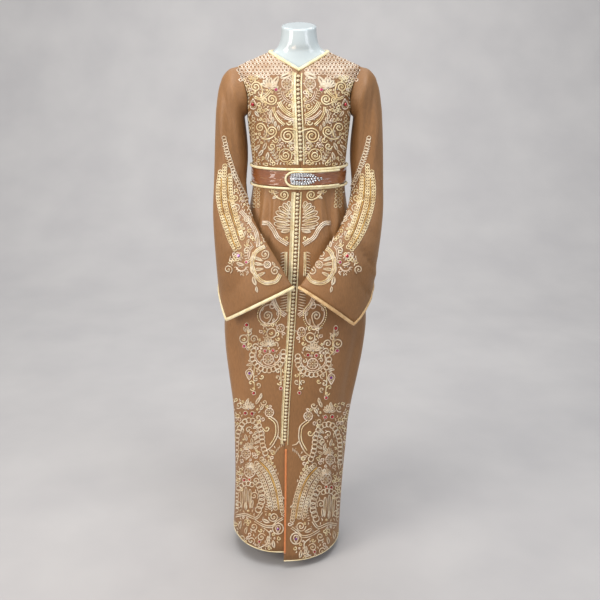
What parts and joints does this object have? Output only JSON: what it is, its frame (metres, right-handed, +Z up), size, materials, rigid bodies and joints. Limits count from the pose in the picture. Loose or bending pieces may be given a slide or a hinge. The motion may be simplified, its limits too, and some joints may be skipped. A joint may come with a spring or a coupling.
{
  "type": "embroidered kaftan on a limbless dress form",
  "caption": "Long buttoned and belted kaftan with wide pointed sleeves, worn by a limbless dress form on a round-based stand.",
  "frame": {"origin": "centre of the underside of the stand's base plate", "axes": "+Z up along the stand, -Y to the front of the garment, +X to the wearer's left"},
  "size_m": [0.4999, 0.3622, 1.6588],
  "materials": {
    "crepe": "caramel brown satin-backed crepe with gold and silver thread embroidery",
    "gold_braid": "pale gold silk and metal thread braid",
    "silk_knots": "knotted pale gold silk",
    "rust_satin": "rust satin",
    "belt_satin": "copper-brown satin with a gloss",
    "crystal": "clear set stones over silver",
    "white_gloss": "white gloss",
    "steel": "brushed"
  },
  "bodies": {
    "root": {"front_right": "crepe", "front_left": "crepe", "back": "crepe", "sleeve_right": "crepe", "sleeve_left": "crepe", "cuff_cord_right": "gold_braid", "cuff_cord_left": "gold_braid", "placket_right": "gold_braid", "placket_left": "gold_braid", "buttons_bodice": "silk_knots", "buttons_skirt": "silk_knots", "slit_binding": "rust_satin", "neck_cord_left": "gold_braid", "neck_cord_right": "gold_braid", "neck_cord_back": "gold_braid", "hem_cord_left": "gold_braid", "hem_cord_right": "gold_braid", "hem_cord_back": "gold_braid", "belt": "belt_satin", "belt_cord_top": "gold_braid", "belt_cord_bottom": "gold_braid", "belt_tab": "belt_satin", "belt_tab_cord": "gold_braid", "brooch": "crystal", "dress_form": "white_gloss", "stand_pole": "steel", "stand_base": "steel"}
  },
  "joints": []
}
